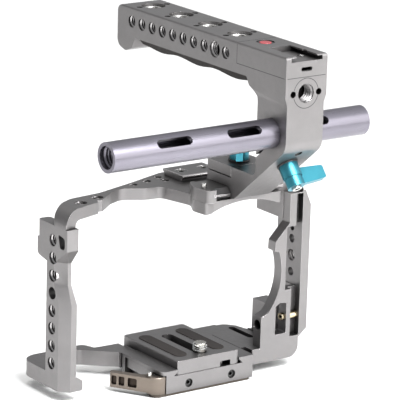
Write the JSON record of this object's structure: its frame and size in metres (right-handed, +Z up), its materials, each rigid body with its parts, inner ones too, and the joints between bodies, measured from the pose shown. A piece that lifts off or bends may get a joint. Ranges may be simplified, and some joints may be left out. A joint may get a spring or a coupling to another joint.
{
  "type": "cinema camera rig",
  "caption": "Camera cage of bolted plates with a quick-release base, a grooved top handle with clamp levers, and a slotted cross rod.",
  "frame": {"origin": "centre of the 3/8 inch tripod thread, on the underside of the quick-release base", "axes": "+Z up, -Y towards the lens side (front), +X to the right seen from the front, along the cross rod"},
  "size_m": [0.1577, 0.1459, 0.1827],
  "materials": {
    "grey_metal": "bead-blasted, anodised grey",
    "teal_metal": "anodised teal, satin",
    "bronze_metal": "anodised bronze, satin",
    "rod_metal": "anodised, drawn tube",
    "steel": "turned",
    "brass": "turned",
    "dark_rubber": "fine grain",
    "dark_plastic": "moulded",
    "red_plastic": "moulded",
    "board_green": "coated circuit board"
  },
  "bodies": {
    "cage": {"top_plate": "grey_metal", "left_arm": "grey_metal", "right_arm": "grey_metal", "bottom_plate": "grey_metal", "cage_screws": "steel", "lap_screws": "steel", "arm_dowel": "steel", "foot_rail": "grey_metal", "rear_rail": "grey_metal", "rail_screws": "steel", "stop_pin": "steel", "window_screw": "brass", "clamp_body": "grey_metal", "clamp_base": "bronze_metal", "base_screws": "steel", "clamp_screws": "steel", "plate_stop_pin": "steel", "lever_pin": "steel"},
    "clamp_slider": {"clamp_jaw": "grey_metal"},
    "quick_lever": {"qr_lever": "bronze_metal", "button_spring": "steel"},
    "lever_lock": {"safety_button": "steel"},
    "camera_plate": {"qr_plate": "grey_metal", "plate_pads": "dark_rubber"},
    "mount_screw": {"camera_screw": "brass"},
    "handle": {"handle_body": "grey_metal", "handle_grip": "dark_rubber", "trigger_cover": "grey_metal", "cover_screws": "steel", "button_bezel": "dark_plastic", "trigger_board": "board_green", "port_shell": "steel", "top_inserts": "steel", "front_insert": "grey_metal", "rod_washer": "dark_plastic", "rod_set_screw": "steel"},
    "trigger": {"record_button": "red_plastic"},
    "foot_jaw": {"rail_jaw": "grey_metal"},
    "foot_lock": {"foot_lever": "teal_metal", "foot_stud": "steel", "foot_washer": "dark_plastic"},
    "rod_lock": {"rod_lever": "teal_metal", "rod_stud": "steel"},
    "cross_rod": {"rod": "rod_metal"}
  },
  "joints": [
    {"name": "handle_slide", "type": "slide", "parent": "cage", "child": "handle", "axis": [1, 0, 0], "range_m": [0, 0.01]},
    {"name": "foot_jaw_slide", "type": "slide", "parent": "handle", "child": "foot_jaw", "axis": [0, 1, 0], "range_m": [0, 0.0016]},
    {"name": "foot_lever_turn", "type": "hinge", "parent": "handle", "child": "foot_lock", "pos_m": [0.0168, -0.0225, 0.118], "axis": [0, 0, 1], "range_deg": [-90, 90]},
    {"name": "rod_lever_turn", "type": "hinge", "parent": "handle", "child": "rod_lock", "pos_m": [0.0168, -0.0625, 0.12534], "axis": [0, -0.6357, -0.7719], "range_deg": [-90, 90]},
    {"name": "rod_slide", "type": "slide", "parent": "handle", "child": "cross_rod", "axis": [1, 0, 0], "range_m": [-0.03, 0.09]},
    {"name": "record_press", "type": "slide", "parent": "handle", "child": "trigger", "axis": [0, 0, -1], "range_m": [0, 0.0007], "stiffness_N_per_m": 600},
    {"name": "quick_lever_turn", "type": "hinge", "parent": "cage", "child": "quick_lever", "pos_m": [-0.0286, -0.0196, 0.006], "axis": [0, 0, 1], "range_deg": [-33, 50]},
    {"name": "clamp_jaw_slide", "type": "slide", "parent": "cage", "child": "clamp_slider", "axis": [1, 0, 0], "range_m": [-0.001, 0.00065]},
    {"name": "lever_lock_press", "type": "slide", "parent": "quick_lever", "child": "lever_lock", "axis": [0, 0, -1], "range_m": [0, 0.0007], "stiffness_N_per_m": 400},
    {"name": "camera_plate_slide", "type": "slide", "parent": "cage", "child": "camera_plate", "axis": [0, 1, 0], "range_m": [-0.0013, 0.06]},
    {"name": "mount_screw_turn", "type": "hinge", "parent": "camera_plate", "child": "mount_screw", "pos_m": [0, -0.0168, 0.0178], "axis": [0, 0, 1], "continuous": true}
  ],
  "couplings": [
    {"joint": "clamp_jaw_slide", "follows": "quick_lever_turn", "m_per_rad": -0.00108}
  ]
}
